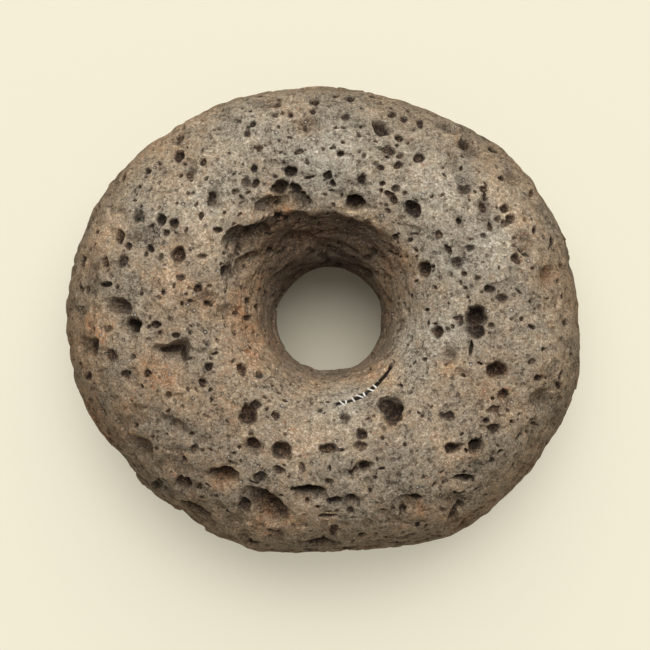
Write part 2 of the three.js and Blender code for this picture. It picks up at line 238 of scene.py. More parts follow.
# Soft spots, by the pixel of the middle, the radius in pixels and the strength. Stains are rusty, or greyer
# than the rest where the strength is below 0.
STAINS = [
    (305, 125, 15, 0.5), (548, 274, 14, 0.5), (487, 158, 15, 0.15), (463, 142, 9, 0.2),
    (84, 325, 22, 0.25), (180, 310, 36, 0.15), (205, 300, 18, 0.25), (100, 255, 24, 0.1),
    (250, 300, 24, 0.15), (285, 225, 26, 0.25), (400, 262, 20, 0.35), (222, 478, 12, 0.6),
    (264, 512, 20, 0.25), (393, 416, 11, 0.4), (420, 345, 8, 0.3), (450, 365, 12, 0.3),
    (494, 238, 24, -0.5), (482, 390, 16, 0.25), (418, 505, 12, 0.4), (180, 180, 26, 0.2),
    (176, 240, 14, 0.3), (545, 385, 16, 0.2), (440, 292, 12, 0.3), (477, 452, 9, 0.5),
    (215, 405, 28, 0.25), (150, 372, 22, 0.25), (180, 150, 20, 0.2), (110, 190, 24, 0.15),
    (120, 440, 40, 0.2), (280, 205, 14, 0.35), (330, 150, 50, -0.55), (205, 200, 44, -0.4),
    (435, 185, 44, -0.4), (345, 400, 24, -0.4), (415, 340, 26, -0.5), (450, 330, 26, -0.3),
    (540, 330, 26, -0.2), (330, 450, 50, -0.15), (250, 130, 30, -0.25), (440, 270, 36, -0.4),
    (140, 210, 26, -0.15), (420, 430, 30, -0.2), (500, 270, 24, -0.2),
]
# Paler stretches, or darker ones where the strength is below 0: partly the stone's own tone and partly
# painted light and shade, darker or paler where the lamp falls on the stone less or more
TONES_AND_PAINTED_LIGHT = [
    (225, 155, 70, 0.6), (330, 150, 50, 0.6), (430, 200, 60, 0.7), (150, 220, 60, 0.4),
    (500, 290, 60, 0.35), (430, 345, 45, 0.5), (330, 402, 30, 0.5), (390, 375, 22, 0.9),
    (250, 335, 24, -0.3), (200, 270, 40, 0.25), (398, 318, 22, 0.9), (382, 272, 20, 0.7),
    (270, 400, 24, 0.3), (255, 270, 22, 0.4), (165, 460, 64, -0.9), (230, 490, 50, -0.3),
    (400, 500, 70, -0.25), (500, 460, 50, -0.35), (95, 390, 40, -0.6), (300, 510, 60, -0.3),
    (555, 390, 40, -0.2), (340, 98, 42, -0.75), (330, 107, 26, -0.5), (412, 116, 30, -0.6),
    (480, 140, 40, -0.75), (548, 290, 36, -0.5), (84, 300, 36, -0.6),
]
# Stretches with more pocks
ROUGH = [
    (160, 410, 70, 0.28), (200, 480, 60, 0.18), (300, 520, 60, 0.14), (500, 450, 60, 0.16),
    (100, 330, 40, 0.14), (540, 260, 50, 0.12),
]

# The strip of old lacquer inside the rim of the hole, as an arc about a pixel, and the strokes inked on it.
# The radius, the half width and the pitch of the strokes are in millimetres, the bearings in degrees.
LACQUER_MIDDLE_PIXEL = (324.5, 330.6)
LACQUER_HEIGHT = 34 * MM
LACQUER_RADIUS = 12.85
LACQUER_HALF_WIDTH = 0.32
LACQUER_BEARINGS = (-82, -26)
INK_BEARINGS = (-79, -44)
INK_PITCH = 1.12


def closed_curve(points, turns):
    """A Catmull-Rom curve through the points, closed on itself, at shares of the way round."""
    points = np.asarray(points, float).reshape(len(points), -1)
    place = np.mod(turns, 1) * len(points)
    first = np.floor(place).astype(int)
    f = (place - first)[..., None]
    p0, p1, p2, p3 = (points[(first + k) % len(points)] for k in (-1, 0, 1, 2))
    straight = 2 * p1 + (p2 - p0) * f
    bent = (2 * p0 - 5 * p1 + 4 * p2 - p3) * f**2 + (3 * p1 - p0 - 3 * p2 + p3) * f**3
    return 0.5 * (straight + bent)


def smooth_point(bearing, way):
    """A point of the smooth ring. way runs from the neck (0) over the top to the edge (0.5), and on below."""
    section = closed_curve(UPPER_SECTION + LOWER_SECTION, way)
    across, height = section[..., 0], section[..., 1]
    edge = LENGTH / 2 * closed_curve(OUTLINE, bearing / math.tau)[..., 0]
    along = NECK[0] * np.cos(bearing) + NECK[1] * np.sin(bearing)
    neck = along + np.sqrt(along**2 - NECK @ NECK + NECK_RADIUS**2)
    reach = neck + (edge - neck) * across
    dip = TOP_DIP * np.sin(bearing) ** 2 * np.maximum(0, height)
    z = (THICKNESS + GROUND_WEAR) / 2 * (1 + height) - GROUND_WEAR - dip
    return np.stack([reach * np.cos(bearing), reach * np.sin(bearing), np.maximum(0, z)], axis=-1)


def middle_of_outline():
    """The middle of the outline as seen from above, on the ground."""
    edge = smooth_point(np.arange(64) / 64 * math.tau, np.full(64, 0.5))
    return (edge.min(axis=0) + edge.max(axis=0)) / 2 * [1, 1, 0]


MIDDLE = middle_of_outline()

# The camera's own directions, and the point in the middle of its frame
TO_CAMERA = np.array([0, -math.cos(ELEVATION), math.sin(ELEVATION)])
CAMERA_UP = np.array([0, math.sin(ELEVATION), math.cos(ELEVATION)])
CAMERA_RIGHT = np.array([1.0, 0, 0])
HALF_FRAME = FRAME_PIXELS / 2
TARGET = np.array([
    (HALF_FRAME - OUTLINE_MIDDLE_PIXEL[0]) * PIXEL,
    (OUTLINE_MIDDLE_PIXEL[1] - HALF_FRAME) * PIXEL / math.sin(ELEVATION),
    THICKNESS / 2,
]) - MIDDLE
CAMERA_PLACE = TARGET + TO_CAMERA * CAMERA_DISTANCE


def to_pixels(points):
    """Where points are seen in the camera's frame."""
    away = points - CAMERA_PLACE
    scale = CAMERA_DISTANCE / PIXEL / -(away @ TO_CAMERA)
    across, up = away @ CAMERA_RIGHT, away @ CAMERA_UP
    return np.stack([HALF_FRAME + scale * across, HALF_FRAME - scale * up], axis=-1)


def from_pixel(x, y, height):
    """The point at a height that is seen at a pixel."""
    across, up = (x - HALF_FRAME) * PIXEL, (HALF_FRAME - y) * PIXEL
    ray = across * CAMERA_RIGHT + up * CAMERA_UP - CAMERA_DISTANCE * TO_CAMERA
    return CAMERA_PLACE + ray * (CAMERA_PLACE[2] - height) / -ray[2]


def unit(vectors):
    """The vectors at length 1."""
    return vectors / np.linalg.norm(vectors, axis=-1, keepdims=True)


NOISE_LATTICE = 32  # the noise repeats after as many lumps


def soft_noise(points, size, seed):
    """Smooth noise from -1 to 1, whose lumps are about size across."""
    lattice = np.random.default_rng(seed).uniform(-1, 1, (NOISE_LATTICE,) * 3)
    cells = points / size
    corner = np.floor(cells).astype(int)
    f = cells - corner
    f = f * f * (3 - 2 * f)
    total = np.zeros(points.shape[:-1])
    for step in product((0, 1), repeat=3):
        weight = np.prod(np.where(step, f, 1 - f), axis=-1)
        x, y, z = np.moveaxis((corner + step) % NOISE_LATTICE, -1, 0)
        total += weight * lattice[x, y, z]
    return total


def soft_step(low, high, value):
    """0 at low, 1 at high, smooth between."""
    t = np.clip((value - low) / (high - low), 0, 1)
    return t * t * (3 - 2 * t)


# The make of a hollow, whose rim is at radius 1
PATCH_REACH = 1.7  # how far out the grid is looked at
LIP_REACH = 1.5  # how far out its soft lip ends
BOWL_PART = 0.94
LIP_PART = 0.06
CORNER_PULL = 0.22  # how far three corners pull at the rim
RAGGED = 0.36  # how far the rim strays, as a share of the hollow's half size
RAGGED_LIMIT = 0.9 * MM  # the half size above which it strays no farther


class Stone:
    """The ring as a fine grid that closes on itself both ways, with the depth that is carved into it."""

    def __init__(self):
        upper = np.linspace(0, 0.5, GRID_UPPER_ROWS, endpoint=False)
        lower = np.linspace(0.5, 1, GRID_LOWER_ROWS, endpoint=False)
        self.ways = np.concatenate([upper, lower])
        self.bearings = np.arange(GRID_COLUMNS) / GRID_COLUMNS * math.tau
        bearing, way = np.meshgrid(self.bearings, self.ways, indexing="ij")
        self.base = smooth_point(bearing, way) - MIDDLE
        self.share = closed_curve(UPPER_SECTION + LOWER_SECTION, way)[..., 0]  # of the way from neck to edge
        self.across = unit(np.roll(self.base, -1, axis=1) - np.roll(self.base, 1, axis=1))
        round_ring = unit(np.roll(self.base, -1, axis=0) - np.roll(self.base, 1, axis=0))
        self.normal = unit(np.cross(self.across, round_ring))
        self.round_ring = np.cross(self.normal, self.across)
        self.column_step = np.linalg.norm(np.roll(self.base, -1, axis=0) - self.base, axis=-1)
        self.row_step = np.linalg.norm(np.roll(self.base, -1, axis=1) - self.base, axis=-1)
        self.pixels = to_pixels(self.base)
        self.seen = self.normal @ TO_CAMERA  # 1 where it faces the camera, below 0 where it faces away
        self.upper = way < 0.5
        self.off_ground = soft_step(0.2 * MM, 2.5 * MM, self.base[..., 2])
        ripples = [self.noise((1, 1.2, seed), (0.5, 0.6, seed + 3)) for seed in (21, 22, 23)]
        self.ripple = np.stack(ripples, axis=-1)
        self.depth = np.zeros(way.shape)
        self.dirt_and_shade = np.zeros(way.shape)

    def noise(self, *parts):
        """Noise on the stone, the sum of parts that are given by amount, size in millimetres and seed."""
        return sum(amount * soft_noise(self.base, size * MM, seed) for amount, size, seed in parts)

    def under_pixel(self, x, y):
        """The grid point that faces the camera and is seen at a pixel."""
        away = np.square(self.pixels - (x, y)).sum(axis=-1) + np.where(self.seen > 0.05, 0, math.inf)
        return np.unravel_index(np.argmin(away), away.shape)

    def patch(self, place, reach):
        """The part of the grid within reach of a point."""
        wide = min(GRID_COLUMNS // 2 - 1, int(reach / self.column_step[place]) + 2)
        tall = min(len(self.ways) // 2 - 1, int(reach / self.row_step[place]) + 2)
        columns = (place[0] + np.arange(-wide, wide + 1)) % GRID_COLUMNS
        rows = (place[1] + np.arange(-tall, tall + 1)) % len(self.ways)
        return np.ix_(columns, rows)

    def carve(self, layer, place, to_unit, sizes, deep, shade, lift=0.0, steep=0.0, lean=0.25, corner=None):
        """Presses a hollow into a layer. to_unit takes an offset to the circle of radius 1 that is its rim.

        shade is how dark it is painted inside, for dirt and painted shade, lift how flat a dish it is, and
        lean how much deeper it is on its steep side, all from 0 to 1.
        """
        patch = self.patch(place, max(sizes) * PATCH_REACH)
        bend = (self.ripple[patch] - self.ripple[place]) * RAGGED * min(min(sizes), RAGGED_LIMIT)
        x, y = np.moveaxis((self.base[patch] - self.base[place] + bend) @ to_unit.T, -1, 0)
        away, angle = np.hypot(x, y), np.arctan2(y, x)
        if corner is not None:
            away *= 1 - CORNER_PULL * np.cos(3 * (angle - math.radians(corner)))
        steep = math.radians(steep)
        bowl = (np.sqrt(np.clip(1 - away**2 * (1 - lift**2), lift**2, 1)) - lift) / (1 - lift)
        lip = (np.clip(LIP_REACH - away, 0, LIP_REACH - 1) / (LIP_REACH - 1)) ** 2
        leaning = 1 + lean * (x * math.cos(steep) + y * math.sin(steep))
        hollow = (BOWL_PART * bowl + LIP_PART * lip) * leaning
        layer[patch] = np.maximum(layer[patch], deep * hollow)
        # Dirt and painted shade inside the hollow, darker on its steep side, where shade falls
        self.dirt_and_shade[patch] = np.maximum(self.dirt_and_shade[patch], shade * np.clip(1.25 * hollow - 0.05, 0, 1))

    def seen_pit(self, layer, at, half, deep, shade, turn=0, **shape):
        """A hollow given as it is seen: pixel, half width and height in pixels, and turn."""
        place = self.under_pixel(*at)
        tangents = np.stack([self.across[place], self.round_ring[place]])
        to_screen = np.stack([tangents @ CAMERA_RIGHT, tangents @ CAMERA_UP])
        u, stretch, v = np.linalg.svd(to_screen)
        stretch = np.maximum(stretch, 0.5)
        turn = math.radians(turn)
        spin = np.array([[math.cos(turn), math.sin(turn)], [-math.sin(turn), math.cos(turn)]])
        half = np.array(half) * PIXEL
        to_unit = (spin @ u @ np.diag(stretch) @ v @ tangents) / half[:, None]
        self.carve(layer, place, to_unit, (half.min(), half.max() / stretch.min()), deep, shade, **shape)

    def placed_pit(self, layer, bearing, way, half_round, half_across, deep, shade, random, lift=0.0):
        """A hollow given by its bearing in degrees, its way round the section and its sizes."""
        place = round(bearing / 360 * GRID_COLUMNS) % GRID_COLUMNS, int(np.argmin(np.abs(self.ways - way)))
        half = np.array([half_across, half_round])
        to_unit = np.stack([self.across[place], self.round_ring[place]]) / half[:, None]
        self.carve(layer, place, to_unit, half, deep, shade, lift, random.uniform(0, 360))

    def surface(self):
        """The grid points with what is carved taken off."""
        return self.base - self.normal * self.depth[..., None]


GOLDEN_ANGLE = 180 * (3 - math.sqrt(5))
# Chips of the edge: bearing in degrees, half width, half height and depth in hundredths of the length
EDGE_NICKS = [
    (129, 1.8, 3.5, 0.9), (214, 2.9, 4.0, 1.0), (235, 2.2, 3.0, 0.7), (35.9, 1.3, 3.0, 1.0),
    (358, 0.9, 1.8, 0.6),
]
# Slow changes of the edge: bearing and half width in degrees, and depth in millimetres, below 0 for a bulge
EDGE_CHANGES = [
    (11, 3, 0.35), (20, 3, -0.5), (34, 3, -0.45), (50, 2.5, 0.3), (69, 5, -0.45), (79, 3, -0.3),
    (109, 5, -0.4), (130, 4, 0.7), (156, 6, -0.4), (171, 4, 0.35), (190, 12, 0.25), (217, 3, 0.65),
    (235, 4, 0.5), (258, 5, 0.45), (284, 5, 0.5), (299, 3, -0.3),
]
EDGE_CHANGE_REACH = 0.07  # how far they reach up and down, as a share of the way round the section

# Hollows where the camera doesn't look, each stepped on from the last by the golden angle
FLANK_HOLLOWS = 9
UNDER_HOLLOWS = 12

POCK_DEPTH = 0.45 * MM
POCK_DIRT_AND_SHADE = 0.26

# The flare of the hole: where it is most undercut and how deep, where its rim is, as a share of the way from
# neck to edge, where and by how much the rim lies farther out, and how high the pecked ridges are and how
# fine they are across and round the ring
UNDERCUT_BEARING = math.radians(97)
UNDERCUT = 2.0 * MM
RIM = 0.22
WIDE_RIM_BEARING = math.radians(135)
RIM_WIDENING = 0.07
RIDGE_HEIGHT = 0.17 * MM
RIDGES_ACROSS = 130
RIDGES_ROUND = 2.4

# Each group of pits by its depth as a share of its size, dirt and painted shade, and how flat a dish it is
PIT_KINDS = ((DEEP_PITS, 1.5, 1.0, 0.0), (PITS, 0.95, 0.75, 0.0), (DIMPLES, 0.45, 0.3, 0.3))
SMALLEST_PIT = 1.4  # half the width of the smallest pit that the grid can take, in pixels
PIT_GROWTH = 1.18  # a pit's rim lies this much farther out than its dark inside, which is what was read

# Small pits all over the stone, which are seeded and not read off the photo
SEEDED_PITS = 1150
SEEDED_SIZE = 0.3 * MM
SEEDED_SPREAD = 0.78  # how much larger the rare large ones are, as a power
SEEN_WAYS = (0.02, 0.47)  # the shares of the way round the section between which the camera looks
SEEN_SIZE_LIMIT = 0.42 * MM  # no larger than this where the camera looks, because larger ones were read


def carve_edge(stone):
    """Slow bumps and dents of the outer edge."""
    bearing = np.degrees(stone.bearings)[:, None]
    around_edge = np.exp(-np.square((stone.ways - 0.5) / EDGE_CHANGE_REACH))
    for middle, half_width, deep in EDGE_CHANGES:
        away = (bearing - middle + 180) % 360 - 180
        stone.depth += deep * MM * np.exp(-np.square(away / half_width)) * around_edge


def carve_swell(stone):
    """The slow unevenness of the whole stone, which is rougher round the flank."""
    flank = 1 + 1.3 * soft_step(0.65, 0.95, stone.share)
    slow = stone.noise((0.3, 15, 1), (0.22, 6, 2))
    quick = stone.noise((0.15, 2.6, 3), (0.045, 1.2, 4))
    stone.depth += (slow + quick * flank) * stone.off_ground * MM


def carve_pocks(stone):
    """Shallow ragged pocks between the pits, closer together round the flank, with dirt and painted
    shade in them.
    """
    lumps = stone.noise((1, 1.9, 31), (0.5, 0.9, 32))
    closer = 0.18 * soft_step(0.6, 0.95, stone.share) + spread(stone, ROUGH)
    pocks = soft_step(0.4, 0.72, lumps + closer) * stone.off_ground
    stone.depth += POCK_DEPTH * pocks
    # Dirt and painted shade in the pocks
    stone.dirt_and_shade += POCK_DIRT_AND_SHADE * pocks


def carve_flare(stone):
    """The far side of the flare falls off under a crisp rim and has painted shade on its wall, and pecking
    left ridges round its wall.
    """
    share = stone.share + stone.noise((0.035, 5, 8), (0.02, 2, 11))
    bearing = stone.bearings[:, None]
    far = soft_step(0, 0.95, np.cos(bearing - UNDERCUT_BEARING))
    rim = RIM + RIM_WIDENING * soft_step(0.7, 0.98, np.cos(bearing - WIDE_RIM_BEARING))
    under_rim = soft_step(0, 0.1, share) * (1 - soft_step(rim - 0.08, rim, share))
    stone.depth += UNDERCUT * far * under_rim * stone.upper
    # Painted shade on the far wall of the flare, under the rim that hides it from the lamp
    stone.dirt_and_shade += 0.6 * far * (1 - soft_step(rim - 0.07, rim + 0.01, share)) * stone.upper
    on_ring = np.cos(bearing) * RIDGES_ROUND, np.sin(bearing) * RIDGES_ROUND, stone.ways * RIDGES_ACROSS
    ring = np.stack(np.broadcast_arrays(*on_ring), axis=-1)
    ridges = soft_noise(ring, 1, 9) + 0.6 * soft_noise(ring * [1.7, 1.7, 2.1], 1, 10)
    stone.depth += RIDGE_HEIGHT * ridges * (1 - soft_step(0.16, 0.3, share))


def carve_hollows(stone, random):
    """The broad hollows that are seen, the chips of the edge, and plainer hollows on the hidden sides."""
    broad = np.zeros_like(stone.depth)
    for scoop in SCOOPS:
        stone.seen_pit(broad, **{"shade": 0.42, "lean": 0.7, **scoop, "deep": scoop["deep"] * MM})
    for bearing, *sizes in EDGE_NICKS:
        half, tall, deep = (size * HUNDREDTH for size in sizes)
        stone.placed_pit(broad, bearing, 0.5, half, tall, deep, 0.2, random, 0.3)
    for i in range(FLANK_HOLLOWS):
        bearing, way = 20 + i * GOLDEN_ANGLE, 0.53 + 0.02 * (i % 3)
        half = (1.1 + 0.4 * (i % 4)) * HUNDREDTH
        stone.placed_pit(broad, bearing, way, half, 1.3 * HUNDREDTH, 1.1 * HUNDREDTH, 0.6, random)
    for i in range(UNDER_HOLLOWS):
        bearing, way = 75 + i * GOLDEN_ANGLE, 0.64 + 0.06 * (i % 5)
        half = (1.2 + 0.3 * (i % 5)) * HUNDREDTH
        stone.placed_pit(broad, bearing, way, half, 1.2 * HUNDREDTH, 1.2 * HUNDREDTH, 0.6, random)
    stone.depth += broad


def carve_pits(stone, random):
    """The pits that are seen, and then small ones all over, larger where the camera doesn't look."""
    pits = np.zeros_like(stone.depth)
    for group, share, shade, lift in PIT_KINDS:
        for x, y, half_width, half_height, *turn in group:
            half = [max(size, SMALLEST_PIT) * PIT_GROWTH for size in (half_width, half_height)]
            deep = share * math.sqrt(half_width * half_height) * PIXEL
            steep = 90 + random.uniform(-50, 50)
            stone.seen_pit(pits, (x, y), half, deep, shade, *turn, lift=lift, steep=steep, lean=0.45)
    for _ in range(SEEDED_PITS):
        bearing, way = random.uniform(0, 360), random.uniform(0, 1)
        size = SEEDED_SIZE / random.uniform(0.1, 1) ** SEEDED_SPREAD
        stretch = random.uniform(0.65, 1.5)
        if SEEN_WAYS[0] < way < SEEN_WAYS[1]:
            size = min(size, SEEN_SIZE_LIMIT)
        deep, shade = size * random.uniform(0.7, 1.6), random.uniform(0.5, 1)
        stone.placed_pit(pits, bearing, way, size * stretch, size / stretch, deep, shade, random)
    stone.depth += pits


def spread(stone, spots):
    """Soft spots of the given strengths, as they are seen."""
    total = np.zeros_like(stone.depth)
    for x, y, radius, strength in spots:
        away = np.linalg.norm(stone.pixels - (x, y), axis=-1) / radius
        total += np.where(stone.seen > 0, strength * np.exp(-away**2), 0)
    return total


def mesh_from_grid(name, points, attributes):
    """A closed quad mesh through a grid of points, with one number a point for each attribute."""
    columns, rows = points.shape[:2]
    index = np.arange(columns * rows).reshape(columns, rows)
    beside, above = np.roll(index, -1, 0), np.roll(index, -1, 1)
    faces = np.stack([index, above, np.roll(above, -1, 0), beside], axis=-1)
    mesh = bpy.data.meshes.new(name)
    mesh.vertices.add(index.size)
    mesh.vertices.foreach_set("co", points.astype(np.float32).ravel())
    mesh.loops.add(faces.size)
    mesh.loops.foreach_set("vertex_index", faces.astype(np.int32).ravel())
    mesh.polygons.add(index.size)
    mesh.polygons.foreach_set("loop_start", np.arange(0, faces.size, 4, dtype=np.int32))
    mesh.update(calc_edges=True)
    for attribute, values in attributes.items():
        made = mesh.attributes.new(attribute, "FLOAT", "POINT")
        made.data.foreach_set("value", values.astype(np.float32).ravel())
    return mesh


def thinned(mesh, triangles):
    """The mesh with flat stretches thinned out, down to a number of triangles."""
    dense = bpy.data.objects.new("dense", mesh)
    bpy.context.collection.objects.link(dense)
    thin = dense.modifiers.new("thin", "DECIMATE")
    thin.ratio = triangles / (2 * len(mesh.polygons))
    made = bpy.data.meshes.new_from_object(dense.evaluated_get(bpy.context.evaluated_depsgraph_get()))
    bpy.data.objects.remove(dense)
    bpy.data.meshes.remove(mesh)
    return made


def make_whorl():
    """The stone, with what colours it as one number a point: dirt and painted shade, rust (more in the
    flare), and tone with painted light and shade.
    """
    random = np.random.default_rng(7)
    stone = Stone()
    carve_edge(stone)
    carve_swell(stone)
    carve_pocks(stone)
    carve_flare(stone)
    carve_hollows(stone, random)
    carve_pits(stone, random)
    in_flare = (1 - soft_step(0.12, 0.3, stone.share)) * stone.upper
    rust = spread(stone, STAINS) + 0.2 * in_flare
    attributes = {"dirt_and_shade": stone.dirt_and_shade, "rust": rust, "tone_and_painted_light": spread(stone, TONES_AND_PAINTED_LIGHT)}
    mesh = thinned(mesh_from_grid("stone", stone.surface(), attributes), TRIANGLES)
    mesh.shade_smooth()
    mesh.set_sharp_from_angle(angle=math.radians(50))
    mesh.name = "stone_whorl"
    whorl = bpy.data.objects.new("stone_whorl", mesh)
    bpy.context.collection.objects.link(whorl)
    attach(whorl, "root")
    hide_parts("whorl")
    return whorl


def tint(red, green, blue):
    """A colour for a shader, from the 0 to 255 values that a screen shows."""
    shares = [c / 255 for c in (red, green, blue)]
    return (*[c / 12.92 if c < 0.04045 else ((c + 0.055) / 1.055) ** 2.4 for c in shares], 1)


class Shader:
    """Short ways to lay out shader nodes."""

    def __init__(self, name):
        self.material = bpy.data.materials.new(name)
        self.material.use_nodes = True
        self.tree = self.material.node_tree
        self.surface = self.tree.nodes["Principled BSDF"]

    def node(self, kind, inputs, **settings):
        made = self.tree.nodes.new("ShaderNode" + kind)
        for name, value in settings.items():
            setattr(made, name, value)
        for name, value in inputs.items():
            self.set(made.inputs[name], value)
        return made

    def set(self, socket, value):
        if isinstance(value, bpy.types.NodeSocket):
            self.tree.links.new(value, socket)
        else:
            socket.default_value = value

    def math(self, operation, a, b=0.0):
        return self.node("Math", {0: a, 1: b}, operation=operation).outputs[0]

    def times(self, first, *factors):
        for factor in factors:
            first = self.math("MULTIPLY", first, factor)
        return first

    def total(self, start, *parts):
        """start plus each part times its weight, the part counted from its middle, 0.5 if not given."""
        start -= sum(weight * (middle[0] if middle else 0.5) for _, weight, *middle in parts)
        for part, weight, *_ in parts:
            start = self.node("Math", {0: part, 1: weight, 2: start}, operation="MULTIPLY_ADD").outputs[0]
        return start

    def offset(self, place, middle):
        """The place counted from a middle, with the height left out."""
        moved = self.node("VectorMath", {0: place, 1: middle}, operation="SUBTRACT").outputs[0]
        return self.node("VectorMath", {0: moved, 1: (1, 1, 0)}, operation="MULTIPLY").outputs[0]

    def length(self, vector):
        return self.node("VectorMath", {0: vector}, operation="LENGTH").outputs["Value"]

    def ramp(self, value, stops):
        ramp = self.node("ValToRGB", {"Fac": value})
        elements = ramp.color_ramp.elements
        while len(elements) < len(stops):
            elements.new(0.5)
        for element, (position, colour) in zip(elements, stops):
            element.position, element.color = position, colour
        return ramp.outputs["Color"]

    def mix(self, share, a, b, blend="MIX"):
        """Colour a with a share of colour b. The node's colours are at inputs 6 and 7, and output 2."""
        mixed = self.node("Mix", {}, data_type="RGBA", blend_type=blend, clamp_factor=True)
        self.set(mixed.inputs["Factor"], share)
        self.set(mixed.inputs[6], a)
        self.set(mixed.inputs[7], b)
        return mixed.outputs[2]

    def between(self, value, low, high):
        """0 at low, 1 at high, smooth between."""
        inputs = {"Value": value, "From Min": low, "From Max": high}
        return self.node("MapRange", inputs, interpolation_type="SMOOTHSTEP").outputs["Result"]

    def noise(self, place, size, detail=4.0, roughness=0.6):
        inputs = {"Vector": place, "Scale": 1 / size, "Detail": detail, "Roughness": roughness}
        return self.node("TexNoise", inputs).outputs["Fac"]

    def cells(self, place, size):
        """Two random numbers in each cell of a size, and the distance to the cell's middle."""
        made = self.node("TexVoronoi", {"Vector": place, "Scale": 1 / size})
        chances = self.node("SeparateColor", {"Color": made.outputs["Color"]}).outputs
        return chances[0], chances[1], made.outputs["Distance"]


# Colours of the clean grain and of the dirt and painted shade over it, from dark grains to light ones, and
# tints of the grain from greenish grey to rust
GRAINS = [
    (0.0, tint(88, 79, 71)), (0.15, tint(130, 120, 110)), (0.3, tint(160, 151, 140)),
    (0.5, tint(182, 175, 165)), (0.7, tint(204, 199, 190)), (0.86, tint(238, 235, 229)),
    (1.0, tint(255, 255, 252)),
]
SOIL_AND_SHADE_COLOURS = [
    (0.25, tint(24, 19, 16)), (0.5, tint(54, 42, 34)), (0.75, tint(96, 73, 55)), (1.0, tint(160, 132, 104)),
]
HUES = [
    (0.0, (0.97, 0.96, 0.88, 1)), (0.3, (0.94, 0.89, 0.78, 1)), (0.55, (0.94, 0.81, 0.65, 1)),
    (0.78, (0.96, 0.74, 0.53, 1)), (1.0, (0.98, 0.6, 0.36, 1)),
]
# What the dark and the pale stretches are multiplied by
TONE_AND_LIGHT_SHADES = [(0.0, (0.62, 0.61, 0.6, 1)), (1.0, (1.0, 1.0, 1.0, 1))]
RUSTY_SPECK = tint(172, 116, 78)
PINHOLE_SHADE = tint(70, 54, 43)
GLINT = tint(232, 229, 221)
NECK_DARK = tint(84, 72, 60)
FLANK_SHADE = tint(172, 156, 140)
LACQUER = tint(34, 25, 18)
INK = tint(236, 233, 224)

# Sizes of the patterns, and the height of the finest relief, in millimetres
FINE_GRAIN = 0.25
COARSE_GRAIN = 0.6
SPECKS = 0.9
PINHOLES = 1.0
MOTTLING = 1.6
PATCHES = 9.0
GRAIN_RELIEF = 0.18

# Where the colour starts to darken towards the neck and where it is darkest, by the distance from the hole's
# middle, and where the painted shade of the lower flank starts and is darkest, by that distance and by the
# height, in millimetres
NECK_DARK_FROM = (15.0, 9.6)
FLANK_SHADE_FROM = (17.0, 26.0)
FLANK_SHADE_BELOW = (36.5, 21.0)


